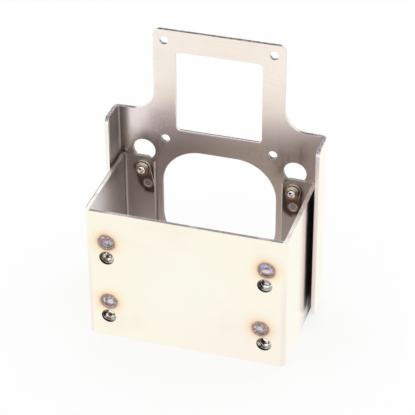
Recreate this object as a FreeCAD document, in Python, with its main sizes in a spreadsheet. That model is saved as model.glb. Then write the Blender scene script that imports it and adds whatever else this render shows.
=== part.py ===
import FreeCAD, Part
import math
import os
import Sketcher

# Stainless mounting bracket. A folded back plate carries a motor face on a tall neck,
# and a folded open box is screwed to its front with weld nuts.
# Frame: +X to the right, +Y to the back, +Z up. The origin is on the surface that the
# bracket stands on, at the middle of its width and of its overall depth.
# Inside each sheet's body, Y = 0 is the plane where the box touches the back plate.

DRIVING_SIZES = [
    # the two sheets
    ("sheet_thickness", 2.5),
    ("bend_inner_radius", 1.5),
    # box and its front panel
    ("box_width", 122.0),
    ("box_depth", 68.0),
    ("box_height", 87.5),
    ("panel_hole", 8.7),
    ("panel_side_distance", 13.0),
    ("panel_pitch_up", 42.0),
    ("panel_row_level", 14.1),
    ("electrode_mark", 7.2),
    ("electrode_mark_depth", 0.25),
    # screwed joint between the return flanges of the box and the back plate
    ("joint_side_distance", 14.0),
    ("joint_edge_distance", 7.4),
    ("joint_hole", 5.5),
    ("return_rim", 7.2),
    ("return_chamfer", 4.0),
    # flanges of the back plate, beside the box
    ("flange_clearance", 2.25),
    ("flange_depth", 16.5),
    ("flange_rise", 31.2),
    ("flange_corner_radius", 4.0),
    ("plate_lift", 2.5),
    ("shoulder_radius", 14.0),
    # large opening and side holes of the back plate, from the top of the box
    ("opening_width", 71.5),
    ("opening_corner_radius", 25.0),
    ("opening_rise", 6.7),
    ("side_hole", 14.2),
    ("side_hole_rise", 3.5),
    # motor face: an even rim round the window, with the screw holes on its middle line
    ("motor_screw_pitch", 66.5),
    ("motor_screw_hole", 5.5),
    ("motor_rim", 13.5),
    ("motor_face_corner_radius", 4.0),
    ("window_corner_radius", 3.0),
    # weld nuts with one tab
    ("thread_size", 5.0),
    ("nut_base_width", 9.2),
    ("nut_base_thickness", 1.2),
    ("nut_barrel", 8.0),
    ("nut_height", 4.2),
    ("nut_tab_width", 7.3),
    ("nut_weld_offset", 10.9),
    ("nut_weld_mark", 5.2),
    ("nut_weld_mark_depth", 0.4),
    ("nut_lead_in", 0.5),
    ("nut_barrel_rounding", 0.6),
    # button head screws
    ("screw_length", 10.0),
    ("screw_head", 9.5),
    ("screw_head_height", 2.75),
    ("screw_head_rounding", 2.0),
    ("screw_thread_clearance", 0.1),
    ("screw_tip_chamfer", 0.5),
    ("socket_width", 3.0),
    ("socket_depth", 1.6),
]

document = FreeCAD.newDocument("mounting_bracket")
sheet = document.addObject("Spreadsheet::Sheet", "Sizes")
for row, (alias, number) in enumerate(DRIVING_SIZES, start=1):
    sheet.set("A%d" % row, alias)
    sheet.set("B%d" % row, str(number))
    sheet.setAlias("B%d" % row, alias)
document.recompute()


def size(alias):
    """Expression text for one driving size."""
    return "Sizes." + alias


def value(expression):
    """Present number of an expression on the driving sizes."""
    result = sheet.evalExpression(expression)
    return float(getattr(result, "Value", result))


T = size("sheet_thickness")
BEND_INSIDE = size("bend_inner_radius")
BEND_OUTSIDE = "(%s + %s)" % (BEND_INSIDE, T)

HALF_BOX = "(%s / 2)" % size("box_width")
BOX_TOP = size("box_height")
JOINT_ACROSS = "(%s - %s)" % (HALF_BOX, size("joint_side_distance"))
JOINT_LOW = size("joint_edge_distance")
JOINT_HIGH = "(%s - %s)" % (BOX_TOP, size("joint_edge_distance"))
RETURN_EDGE = "(%s - %s)" % (JOINT_ACROSS, size("return_rim"))
PANEL_ACROSS = "(%s - %s)" % (HALF_BOX, size("panel_side_distance"))
PANEL_LOW = size("panel_row_level")
PANEL_HIGH = "(%s + %s)" % (PANEL_LOW, size("panel_pitch_up"))
PANEL_ROWS = {"upper": PANEL_HIGH, "lower": PANEL_LOW}
JOINT_ROWS = {"upper": JOINT_HIGH, "lower": JOINT_LOW}

# the flanges stand beside the box
HALF_PLATE = "(%s + %s + %s)" % (HALF_BOX, size("flange_clearance"), T)
SHOULDER = "(%s + %s)" % (BOX_TOP, size("flange_rise"))
OPENING_TOP = "(%s + %s)" % (BOX_TOP, size("opening_rise"))
SIDE_HOLE_LEVEL = "(%s + %s)" % (BOX_TOP, size("side_hole_rise"))

# the motor face is a square that stands on the level of the large opening's top
MOTOR_ACROSS = "(%s / 2)" % size("motor_screw_pitch")
HALF_FACE = "(%s + %s / 2)" % (MOTOR_ACROSS, size("motor_rim"))
MOTOR_LEVEL = "(%s + %s)" % (OPENING_TOP, HALF_FACE)

# depth of the contact plane, so that the origin is at the middle of the overall depth
REAR_REACH = "(%s + %s)" % (T, size("screw_head_height"))
CONTACT_PLANE = "((%s - %s) / 2)" % (size("box_depth"), REAR_REACH)

# a shoulder fillet ends before the bend beside it
SHOULDER_ROOM = "(%s - %s - %s)" % (HALF_PLATE, BEND_OUTSIDE, HALF_FACE)
SHOULDER_FILLET = "min(%s; 0.95 * %s)" % (size("shoulder_radius"), SHOULDER_ROOM)

# a nut's lead-in and rounding leave a flat rim between them on the end of the barrel
BARREL_WALL = "((%s - %s) / 2)" % (size("nut_barrel"), size("thread_size"))
LEAD_IN = "min(%s; 0.4 * %s)" % (size("nut_lead_in"), BARREL_WALL)
BARREL_ROUNDING = "min(%s; 0.4 * %s)" % (size("nut_barrel_rounding"), BARREL_WALL)

SIDES = {"left": -1, "right": 1}

# how far each panel nut is turned on its thread, in degrees, tab towards +X when positive
PANEL_NUT_ROLL = {
    ("upper", "left"): 1.5,
    ("upper", "right"): 5.0,
    ("lower", "left"): 2.0,
    ("lower", "right"): -11.5,
}

# how each joint nut is turned: tab down on the upper ones, up on the lower ones
JOINT_NUT_ROLL = {
    ("upper", "left"): 197.0,
    ("upper", "right"): 181.0,
    ("lower", "left"): -3.0,
    ("lower", "right"): 4.0,
}


def origin_plane(body, role):
    """Origin plane of a body, by its role."""
    return next(item for item in body.Origin.OriginFeatures if item.Role == role)


def new_body(name):
    body = document.addObject("PartDesign::Body", name)
    body.Label = name
    return body


def new_sketch(body, name, role, offset=None):
    """Sketch on an origin plane, moved along the plane's normal by an expression."""
    sketch = body.newObject("Sketcher::SketchObject", name)
    sketch.AttachmentSupport = [(origin_plane(body, role), "")]
    sketch.MapMode = "FlatFace"
    if offset is not None:
        sketch.setExpression(".AttachmentOffset.Base.z", offset)
    return sketch


def dimension(sketch, kind, *terms):
    """Named constraint that follows the expression given as the last term."""
    expression = terms[-1]
    index = sketch.addConstraint(Sketcher.Constraint(kind, *terms[:-1], value(expression)))
    name = "d%d" % index
    sketch.renameConstraint(index, name)
    sketch.setExpression(".Constraints." + name, expression)


def square_outline(sketch, edges, radii):
    """Closed outline of alternating upright and level edges.

    edges holds ("x", expression) or ("y", expression) in order round the outline, and
    radii the rounding of the corner after each edge, or None where it is sharp.
    """
    count = len(edges)
    places = [value(expression) for _, expression in edges]
    corners = []
    for i, (kind, _) in enumerate(edges):
        here, after = places[i], places[(i + 1) % count]
        corners.append(FreeCAD.Vector(here, after, 0) if kind == "x" else FreeCAD.Vector(after, here, 0))
    headings = [(corners[i] - corners[i - 1]).normalize() for i in range(count)]
    rounding = [0.0 if radius is None else value(radius) for radius in radii]
    lines = []
    for i in range(count):
        start = corners[i - 1] + headings[i] * rounding[i - 1]
        end = corners[i] - headings[i] * rounding[i]
        lines.append(sketch.addGeometry(Part.LineSegment(start, end), False))
    for i, (kind, _) in enumerate(edges):
        sketch.addConstraint(Sketcher.Constraint("Vertical" if kind == "x" else "Horizontal", lines[i]))
        following = lines[(i + 1) % count]
        if radii[i] is None:
            sketch.addConstraint(Sketcher.Constraint("Coincident", lines[i], 2, following, 1))
            continue
        turn = headings[i].cross(headings[(i + 1) % count]).z
        centre = corners[i] + (headings[(i + 1) % count] - headings[i]) * rounding[i]
        entry = corners[i] - headings[i] * rounding[i] - centre
        leave = corners[i] + headings[(i + 1) % count] * rounding[i] - centre
        first, last = (entry, leave) if turn > 0 else (leave, entry)
        circle = Part.Circle(centre, FreeCAD.Vector(0, 0, 1), rounding[i])
        begin = math.atan2(first.y, first.x)
        finish = math.atan2(last.y, last.x)
        if finish < begin:
            finish += 2 * math.pi
        arc = sketch.addGeometry(Part.ArcOfCircle(circle, begin, finish), False)
        entry_end, leave_end = (1, 2) if turn > 0 else (2, 1)
        sketch.addConstraint(Sketcher.Constraint("Tangent", lines[i], 2, arc, entry_end))
        sketch.addConstraint(Sketcher.Constraint("Tangent", following, 1, arc, leave_end))
        dimension(sketch, "Radius", arc, radii[i])
    for line, (kind, expression) in zip(lines, edges):
        dimension(sketch, "DistanceX" if kind == "x" else "DistanceY", -1, 1, line, 1, expression)


def rounded_square(sketch, half, radius, level):
    """Square of a half width with rounded corners, centred on the upright axis at a level."""
    edges = [
        ("y", "%s - %s" % (level, half)),
        ("x", half),
        ("y", "%s + %s" % (level, half)),
        ("x", "-" + half),
    ]
    square_outline(sketch, edges, [radius] * 4)


def circles(sketch, diameter, centres):
    """Equal circles, each with its centre at a pair of expressions."""
    drawn = []
    for across, up in centres:
        centre = FreeCAD.Vector(value(across), value(up), 0)
        circle = Part.Circle(centre, FreeCAD.Vector(0, 0, 1), value(diameter) / 2)
        drawn.append(sketch.addGeometry(circle, False))
    for circle, (across, up) in zip(drawn, centres):
        dimension(sketch, "DistanceX", -1, 1, circle, 3, across)
        dimension(sketch, "DistanceY", -1, 1, circle, 3, up)
        dimension(sketch, "Diameter", circle, diameter)


def pair(across, level):
    """Two centres at a level, at the same distance on both sides of the upright axis."""
    return [("-" + across, level), (across, level)]


def pad(body, sketch, name, length, reverse=False):
    feature = body.newObject("PartDesign::Pad", name)
    feature.Profile = sketch
    feature.Reversed = reverse
    feature.setExpression(".Length", length)
    document.recompute()
    return feature


def pocket(body, sketch, name, depth, reverse=False):
    """Pocket of a given depth, which has to remove material."""
    before = body.Shape.Volume
    feature = body.newObject("PartDesign::Pocket", name)
    feature.Profile = sketch
    feature.Reversed = reverse
    feature.setExpression(".Length", depth)
    document.recompute()
    if not body.Shape.Volume < before:
        raise RuntimeError(name + " removes nothing")
    return feature


def dressed(body, kind, name, edges, expression):
    """Fillet or chamfer on the edges of a body's present shape that a test picks."""
    base = body.Tip
    picked = ["Edge%d" % (i + 1) for i, edge in enumerate(base.Shape.Edges) if edges(edge)]
    if not picked:
        raise RuntimeError(name + " finds no edge")
    feature = body.newObject("PartDesign::" + kind, name)
    feature.Base = (base, picked)
    feature.setExpression(".Radius" if kind == "Fillet" else ".Size", expression)
    document.recompute()
    return feature


def close(first, second):
    return abs(first - second) < 1e-4


def straight_along(edge, axis):
    """True for a straight edge parallel to an axis given as x, y or z."""
    if not isinstance(edge.Curve, (Part.Line, Part.LineSegment)):
        return False
    first, last = edge.Vertexes[0].Point, edge.Vertexes[-1].Point
    return all(close(getattr(first, other), getattr(last, other)) for other in "xyz" if other != axis)


def round_edge(edge, radius, level):
    """True for a full circle of a radius, square to Z, at a level."""
    if not isinstance(edge.Curve, Part.Circle) or len(edge.Vertexes) != 1:
        return False
    return close(edge.Curve.Radius, radius) and close(edge.Curve.Center.z, level)


# back plate: flat web with the neck, two flanges folded forward
def make_back_plate():
    body = new_body("back_plate")
    body.setExpression(".Placement.Base.y", CONTACT_PLANE)

    # the web ends where the bends begin
    web_edge = "(%s - %s)" % (HALF_PLATE, BEND_OUTSIDE)
    web = new_sketch(body, "web_outline", "XZ_Plane")
    square_outline(
        web,
        [
            ("y", "%s + %s" % (MOTOR_LEVEL, HALF_FACE)),
            ("x", "-" + HALF_FACE),
            ("y", SHOULDER),
            ("x", "-" + web_edge),
            ("y", size("plate_lift")),
            ("x", web_edge),
            ("y", SHOULDER),
            ("x", HALF_FACE),
        ],
        [
            size("motor_face_corner_radius"),
            SHOULDER_FILLET,
            None,
            None,
            None,
            None,
            SHOULDER_FILLET,
            size("motor_face_corner_radius"),
        ],
    )
    pad(body, web, "web", T, reverse=True)

    fold = new_sketch(body, "fold_profile", "XY_Plane", size("plate_lift"))
    square_outline(
        fold,
        [
            ("y", T),
            ("x", "-" + HALF_PLATE),
            ("y", "-" + size("flange_depth")),
            ("x", "-(%s - %s)" % (HALF_PLATE, T)),
            ("y", "0"),
            ("x", "%s - %s" % (HALF_PLATE, T)),
            ("y", "-" + size("flange_depth")),
            ("x", HALF_PLATE),
        ],
        [BEND_OUTSIDE, None, None, BEND_INSIDE, BEND_INSIDE, None, None, BEND_OUTSIDE],
    )
    pad(body, fold, "folds", "%s - %s" % (SHOULDER, size("plate_lift")))

    window = new_sketch(body, "window_outline", "XZ_Plane")
    half_window = "(%s - %s / 2)" % (MOTOR_ACROSS, size("motor_rim"))
    rounded_square(window, half_window, size("window_corner_radius"), MOTOR_LEVEL)
    pocket(body, window, "window", T)

    opening = new_sketch(body, "opening_outline", "XZ_Plane")
    half_opening = "(%s / 2)" % size("opening_width")
    opening_level = "(%s - %s)" % (OPENING_TOP, half_opening)
    rounded_square(opening, half_opening, size("opening_corner_radius"), opening_level)
    pocket(body, opening, "opening", T)

    motor_holes = new_sketch(body, "motor_hole_centres", "XZ_Plane")
    lower_pair = pair(MOTOR_ACROSS, "%s - %s" % (MOTOR_LEVEL, MOTOR_ACROSS))
    upper_pair = pair(MOTOR_ACROSS, "%s + %s" % (MOTOR_LEVEL, MOTOR_ACROSS))
    circles(motor_holes, size("motor_screw_hole"), lower_pair + upper_pair)
    pocket(body, motor_holes, "motor_holes", T)

    side_holes = new_sketch(body, "side_hole_centres", "XZ_Plane")
    circles(side_holes, size("side_hole"), pair(JOINT_ACROSS, SIDE_HOLE_LEVEL))
    pocket(body, side_holes, "side_holes", T)

    joint_holes = new_sketch(body, "joint_hole_centres", "XZ_Plane")
    joint_centres = pair(JOINT_ACROSS, JOINT_LOW) + pair(JOINT_ACROSS, JOINT_HIGH)
    circles(joint_holes, size("joint_hole"), joint_centres)
    pocket(body, joint_holes, "joint_holes", T)

    front = -value(size("flange_depth"))
    top = value(SHOULDER)

    def flange_corner(edge):
        point = edge.CenterOfMass
        return straight_along(edge, "x") and close(point.y, front) and close(point.z, top)

    dressed(body, "Fillet", "flange_corners", flange_corner, size("flange_corner_radius"))
    return body


# box: one sheet folded into a front panel, two sides and two return flanges
def make_box():
    body = new_body("box")
    body.setExpression(".Placement.Base.y", CONTACT_PLANE)

    profile = new_sketch(body, "box_profile", "XY_Plane")
    side_inside = "(%s - %s)" % (HALF_BOX, T)
    square_outline(
        profile,
        [
            ("y", "0"),
            ("x", "-" + HALF_BOX),
            ("y", "-" + size("box_depth")),
            ("x", HALF_BOX),
            ("y", "0"),
            ("x", RETURN_EDGE),
            ("y", "-" + T),
            ("x", side_inside),
            ("y", "%s - %s" % (T, size("box_depth"))),
            ("x", "-" + side_inside),
            ("y", "-" + T),
            ("x", "-" + RETURN_EDGE),
        ],
        [BEND_OUTSIDE] * 4 + [None, None] + [BEND_INSIDE] * 4 + [None, None],
    )
    pad(body, profile, "folded_sheet", BOX_TOP)

    joint_holes = new_sketch(body, "joint_hole_centres", "XZ_Plane")
    joint_centres = pair(JOINT_ACROSS, JOINT_LOW) + pair(JOINT_ACROSS, JOINT_HIGH)
    circles(joint_holes, size("joint_hole"), joint_centres)
    pocket(body, joint_holes, "joint_holes", T, reverse=True)

    panel_holes = new_sketch(body, "panel_hole_centres", "XZ_Plane", size("box_depth"))
    panel_centres = pair(PANEL_ACROSS, PANEL_LOW) + pair(PANEL_ACROSS, PANEL_HIGH)
    circles(panel_holes, size("panel_hole"), panel_centres)
    pocket(body, panel_holes, "panel_holes", T)

    # an electrode mark lies over the tab of each panel nut
    marks = new_sketch(body, "electrode_mark_centres", "XZ_Plane", size("box_depth"))
    centres = []
    for (row, side), roll in PANEL_NUT_ROLL.items():
        offset = size("nut_weld_offset")
        across = "%d * %s + %s * sin(%g deg)" % (SIDES[side], PANEL_ACROSS, offset, roll)
        centres.append((across, "%s + %s * cos(%g deg)" % (PANEL_ROWS[row], offset, roll)))
    circles(marks, size("electrode_mark"), centres)
    pocket(body, marks, "electrode_marks", size("electrode_mark_depth"))

    free_edge = value(RETURN_EDGE)
    top = value(BOX_TOP)

    def return_corner(edge):
        point = edge.CenterOfMass
        at_end = close(point.z, top) or close(point.z, 0)
        return straight_along(edge, "y") and close(abs(point.x), free_edge) and at_end

    dressed(body, "Chamfer", "return_corners", return_corner, size("return_chamfer"))
    return body


# weld nut: flat base with a welding tab, and a threaded barrel that stands away from the sheet
def make_weld_nut(name):
    """Weld nut on the XY plane, thread on Z, tab towards +Y."""
    body = new_body(name)
    big = value(size("nut_base_width")) / 2
    small = value(size("nut_tab_width")) / 2
    reach = value(size("nut_weld_offset"))
    lean = math.asin((big - small) / reach)

    outline = new_sketch(body, "base_outline", "XY_Plane")
    up = FreeCAD.Vector(0, 0, 1)
    tab_centre = FreeCAD.Vector(0, reach, 0)
    right = FreeCAD.Vector(math.cos(lean), math.sin(lean), 0)
    left = FreeCAD.Vector(-right.x, right.y, 0)
    round_end = outline.addGeometry(
        Part.ArcOfCircle(Part.Circle(FreeCAD.Vector(), up, big), math.pi - lean, 2 * math.pi + lean),
        False)
    tab_end = outline.addGeometry(
        Part.ArcOfCircle(Part.Circle(tab_centre, up, small), lean, math.pi - lean), False)
    right_side = outline.addGeometry(Part.LineSegment(right * big, tab_centre + right * small), False)
    left_side = outline.addGeometry(Part.LineSegment(tab_centre + left * small, left * big), False)
    outline.addConstraint(Sketcher.Constraint("Coincident", round_end, 3, -1, 1))
    outline.addConstraint(Sketcher.Constraint("PointOnObject", tab_end, 3, -2))
    outline.addConstraint(Sketcher.Constraint("Tangent", round_end, 2, right_side, 1))
    outline.addConstraint(Sketcher.Constraint("Tangent", right_side, 2, tab_end, 1))
    outline.addConstraint(Sketcher.Constraint("Tangent", tab_end, 2, left_side, 1))
    outline.addConstraint(Sketcher.Constraint("Tangent", left_side, 2, round_end, 1))
    dimension(outline, "Radius", round_end, "%s / 2" % size("nut_base_width"))
    dimension(outline, "Radius", tab_end, "%s / 2" % size("nut_tab_width"))
    dimension(outline, "DistanceY", -1, 1, tab_end, 3, size("nut_weld_offset"))
    pad(body, outline, "base", size("nut_base_thickness"))

    barrel = new_sketch(body, "barrel_outline", "XY_Plane")
    circles(barrel, size("nut_barrel"), [("0", "0")])
    pad(body, barrel, "barrel", size("nut_height"))

    bore = new_sketch(body, "bore_outline", "XY_Plane", size("nut_height"))
    circles(bore, size("thread_size"), [("0", "0")])
    pocket(body, bore, "bore", size("nut_height"))

    mark = new_sketch(body, "weld_mark_outline", "XY_Plane", size("nut_base_thickness"))
    circles(mark, size("nut_weld_mark"), [("0", size("nut_weld_offset"))])
    pocket(body, mark, "weld_mark", size("nut_weld_mark_depth"))

    bore_radius = value(size("thread_size")) / 2
    barrel_radius = value(size("nut_barrel")) / 2
    end = value(size("nut_height"))
    dressed(body, "Chamfer", "base_lead_in", lambda edge: round_edge(edge, bore_radius, 0.0), LEAD_IN)
    dressed(body, "Chamfer", "end_lead_in", lambda edge: round_edge(edge, bore_radius, end), LEAD_IN)
    dressed(body, "Fillet", "barrel_rounding", lambda edge: round_edge(edge, barrel_radius, end),
            BARREL_ROUNDING)
    return body


# button head screw with a hexagon socket
def hexagon(sketch, width):
    """Hexagon of a width across flats, centred on the origin, two sides upright."""
    radius = value(width) / 2 / math.cos(math.pi / 6)
    points = []
    for k in range(6):
        angle = math.pi / 6 + k * math.pi / 3
        points.append(FreeCAD.Vector(radius * math.cos(angle), radius * math.sin(angle), 0))
    rim = sketch.addGeometry(Part.Circle(FreeCAD.Vector(), FreeCAD.Vector(0, 0, 1), radius), True)
    sides = []
    for k in range(6):
        sides.append(sketch.addGeometry(Part.LineSegment(points[k], points[(k + 1) % 6]), False))
    for k, side in enumerate(sides):
        sketch.addConstraint(Sketcher.Constraint("Coincident", side, 2, sides[(k + 1) % 6], 1))
        sketch.addConstraint(Sketcher.Constraint("PointOnObject", side, 1, rim))
    for side in sides[1:]:
        sketch.addConstraint(Sketcher.Constraint("Equal", sides[0], side))
    sketch.addConstraint(Sketcher.Constraint("Coincident", rim, 3, -1, 1))
    sketch.addConstraint(Sketcher.Constraint("Vertical", sides[5]))
    dimension(sketch, "Radius", rim, "%s / 2 / cos(30 deg)" % width)


def make_screw(name):
    """Screw on Z: seat of the head at 0, shank towards +Z."""
    body = new_body(name)
    head = new_sketch(body, "head_outline", "XY_Plane")
    circles(head, size("screw_head"), [("0", "0")])
    pad(body, head, "head", size("screw_head_height"), reverse=True)

    rim = value(size("screw_head")) / 2
    crown = -value(size("screw_head_height"))
    dressed(body, "Fillet", "head_rounding", lambda edge: round_edge(edge, rim, crown),
            size("screw_head_rounding"))

    shank_diameter = "(%s - %s)" % (size("thread_size"), size("screw_thread_clearance"))
    shank = new_sketch(body, "shank_outline", "XY_Plane")
    circles(shank, shank_diameter, [("0", "0")])
    pad(body, shank, "shank", size("screw_length"))

    tip_radius = value(shank_diameter) / 2
    tip = value(size("screw_length"))
    dressed(body, "Chamfer", "tip", lambda edge: round_edge(edge, tip_radius, tip),
            size("screw_tip_chamfer"))

    socket = new_sketch(body, "socket_outline", "XY_Plane", "-" + size("screw_head_height"))
    hexagon(socket, size("socket_width"))
    pocket(body, socket, "socket", size("socket_depth"), reverse=True)
    return body


def place(body, across, back, up, tilt, roll):
    """Put a fastener at a place, with its Z axis laid along Y by the tilt and rolled on itself."""
    x_axis, z_axis = FreeCAD.Vector(1, 0, 0), FreeCAD.Vector(0, 0, 1)
    turn = FreeCAD.Rotation(x_axis, tilt).multiply(FreeCAD.Rotation(z_axis, roll))
    body.Placement = FreeCAD.Placement(FreeCAD.Vector(value(across), value(back), value(up)), turn)
    body.setExpression(".Placement.Base.x", across)
    body.setExpression(".Placement.Base.y", back)
    body.setExpression(".Placement.Base.z", up)


# a fastener's Z axis laid along +Y or along -Y
TOWARDS_BACK = -90.0
TOWARDS_FRONT = 90.0

def make_fasteners():
    bodies = []
    panel_back = "(%s - %s + %s)" % (CONTACT_PLANE, size("box_depth"), T)
    return_front = "(%s - %s)" % (CONTACT_PLANE, T)
    plate_back = "(%s + %s)" % (CONTACT_PLANE, T)
    for side, sign in SIDES.items():
        for row, up in PANEL_ROWS.items():
            nut = make_weld_nut("panel_nut_%s_%s" % (row, side))
            roll = 180.0 + PANEL_NUT_ROLL[(row, side)]
            place(nut, "%d * %s" % (sign, PANEL_ACROSS), panel_back, up, TOWARDS_BACK, roll)
            bodies.append(nut)
        for row, up in JOINT_ROWS.items():
            across = "%d * %s" % (sign, JOINT_ACROSS)
            nut = make_weld_nut("joint_nut_%s_%s" % (row, side))
            place(nut, across, return_front, up, TOWARDS_FRONT, JOINT_NUT_ROLL[(row, side)])
            bodies.append(nut)
            screw = make_screw("joint_screw_%s_%s" % (row, side))
            place(screw, across, plate_back, up, TOWARDS_FRONT, 0.0)
            bodies.append(screw)
    return bodies


nodes = [make_back_plate(), make_box()] + make_fasteners()
document.recompute()

for item in document.Objects:
    if "Invalid" in item.State or "Error" in item.State:
        raise RuntimeError("%s failed: %s" % (item.Label, item.State))
for node in nodes:
    if node.Shape.isNull() or not node.Shape.isValid() or len(node.Shape.Solids) != 1:
        raise RuntimeError(node.Label + " has no valid solid")

os.makedirs("parts", exist_ok=True)
for node in nodes:
    node.Shape.exportStep(os.path.join("parts", node.Label + ".step"))
    box = node.Shape.BoundBox
    print("%-26s x %7.2f %7.2f  y %7.2f %7.2f  z %7.2f %7.2f  volume %9.2f" % (
        node.Label, box.XMin, box.XMax, box.YMin, box.YMax, box.ZMin, box.ZMax, node.Shape.Volume))
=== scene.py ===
import math

import bpy
from mathutils import Matrix, Vector


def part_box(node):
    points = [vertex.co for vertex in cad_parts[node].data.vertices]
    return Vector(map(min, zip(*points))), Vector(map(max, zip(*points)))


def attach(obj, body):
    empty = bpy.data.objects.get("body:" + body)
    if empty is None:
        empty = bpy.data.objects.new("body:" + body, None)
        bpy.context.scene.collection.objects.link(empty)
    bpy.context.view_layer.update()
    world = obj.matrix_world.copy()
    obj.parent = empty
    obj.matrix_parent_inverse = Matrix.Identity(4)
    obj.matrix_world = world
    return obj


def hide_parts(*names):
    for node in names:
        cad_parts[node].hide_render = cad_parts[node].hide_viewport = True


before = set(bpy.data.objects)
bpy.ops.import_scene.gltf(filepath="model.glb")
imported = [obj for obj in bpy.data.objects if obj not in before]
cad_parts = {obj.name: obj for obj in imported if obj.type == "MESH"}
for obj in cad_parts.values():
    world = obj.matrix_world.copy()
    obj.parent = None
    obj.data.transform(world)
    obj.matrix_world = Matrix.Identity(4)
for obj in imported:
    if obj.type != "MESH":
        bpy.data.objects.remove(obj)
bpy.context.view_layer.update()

MM = 0.001
PHOTO_WIDTH = 415

# faces of the two sheets, in metres, read from the solids
PANEL_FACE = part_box("box")[0].y
PLATE_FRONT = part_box("box")[1].y
PLATE_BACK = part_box("back_plate")[1].y
SHEET = PLATE_BACK - PLATE_FRONT
PANEL_BACK = PANEL_FACE + SHEET
RETURN_FACE = PLATE_FRONT - SHEET
BOX_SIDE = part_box("box")[1].x
BOX_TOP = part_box("box")[1].z
SIDE_INNER = BOX_SIDE - SHEET
PLATE_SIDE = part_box("back_plate")[1].x
FLANGE_INNER = PLATE_SIDE - SHEET
NECK_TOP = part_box("back_plate")[1].z
INNER_BEND = 1.5 * MM
MIDDLE_BEND = INNER_BEND + SHEET / 2
RETURN_EDGE = BOX_SIDE - 21.2 * MM
FLANGE_FRONT = PLATE_BACK - 19.0 * MM

# places of the hardware and the holes, across and up
SIDES = {"left": -1, "right": 1}
PANEL_HOLE_ACROSS = 48.0 * MM
PANEL_ROWS = {"upper": 56.1 * MM, "lower": 14.1 * MM}
JOINT_ACROSS = 47.0 * MM
JOINT_ROWS = {"upper": 80.1 * MM, "lower": 7.4 * MM}
MOTOR_ACROSS = 33.25 * MM
MOTOR_ROWS = {"upper": NECK_TOP - 6.75 * MM, "lower": NECK_TOP - 73.25 * MM}
SIDE_HOLE_ACROSS = 47.0 * MM
SIDE_HOLE_ROWS = {"middle": BOX_TOP + 3.5 * MM}

# sizes of the hardware
WELD_OFFSET = 10.9 * MM
ELECTRODE_DEPTH = 0.25 * MM
THREAD_RADIUS = 2.5 * MM
THREAD_PITCH = 0.8 * MM
THREAD_TURNS = 4
THREAD_START = 0.5 * MM

# how far each weld nut is turned from its tab pointing up, in degrees
PANEL_NUT_ROLL = {("upper", "left"): 1.5, ("upper", "right"): 5.0,
                  ("lower", "left"): 2.0, ("lower", "right"): -11.5}
JOINT_NUT_ROLL = {("upper", "left"): 197.0, ("upper", "right"): 181.0,
                  ("lower", "left"): -3.0, ("lower", "right"): 4.0}


def mirrored_places(across, rows):
    """Places on both sides in each row, across and up, by row and side."""
    return {(row, side): (SIDES[side] * across, rows[row]) for row in rows for side in SIDES}


PANEL_HOLES = mirrored_places(PANEL_HOLE_ACROSS, PANEL_ROWS)
JOINT_AXES = mirrored_places(JOINT_ACROSS, JOINT_ROWS)
MOTOR_HOLES = mirrored_places(MOTOR_ACROSS, MOTOR_ROWS)
SIDE_HOLES = mirrored_places(SIDE_HOLE_ACROSS, SIDE_HOLE_ROWS)


def weld_place(row, side):
    """Centre of an electrode mark on the front panel, across and up."""
    roll = math.radians(PANEL_NUT_ROLL[row, side])
    across, up = PANEL_HOLES[row, side]
    return (across + WELD_OFFSET * math.sin(roll), up + WELD_OFFSET * math.cos(roll))


def tab_place(row, side):
    """Centre of the weld on a joint nut's tab, across and up."""
    roll = math.radians(JOINT_NUT_ROLL[row, side])
    across, up = JOINT_AXES[row, side]
    return (across - WELD_OFFSET * math.sin(roll), up + WELD_OFFSET * math.cos(roll))


PANEL_WELDS = {key: weld_place(*key) for key in PANEL_HOLES}
JOINT_TABS = {key: tab_place(*key) for key in JOINT_AXES}


# shader nodes written as expressions
class Wire:
    """A socket of a shader node, on which sums and products add Math nodes."""

    def __init__(self, finish, socket):
        self.finish = finish
        self.socket = socket

    def maths(self, operation, *others):
        return self.finish.node("Math", {"operation": operation}, dict(enumerate((self, *others))))

    def __add__(self, other):
        return self.maths("ADD", other)

    __radd__ = __add__

    def __mul__(self, other):
        return self.maths("MULTIPLY", other)

    __rmul__ = __mul__

    def __sub__(self, other):
        return self.maths("SUBTRACT", other)

    def __rsub__(self, other):
        return (self * -1.0) + other

    def __truediv__(self, other):
        return self.maths("DIVIDE", other)

    def smaller(self, other):
        return self.maths("MINIMUM", other)

    def larger(self, other):
        return self.maths("MAXIMUM", other)

    def absolute(self):
        return self.maths("ABSOLUTE")

    def root(self):
        return self.maths("SQRT")

    def sign(self):
        return self.maths("SIGN")

    def smooth_range(self, low, high, start, end):
        return self.finish.node("MapRange", {"interpolation_type": "SMOOTHSTEP"},
                                {0: self, 1: low, 2: high, 3: start, 4: end})

    def rise(self, low, high):
        """0 below low, 1 above high, smooth between."""
        return self.smooth_range(low, high, 0.0, 1.0)

    def fall(self, low, high):
        """1 below low, 0 above high, smooth between."""
        return self.smooth_range(low, high, 1.0, 0.0)

    def within(self, low, high, border):
        """1 between low and high, 0 outside them by a border or more."""
        return self.rise(low - border, low) * self.fall(high, high + border)


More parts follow.
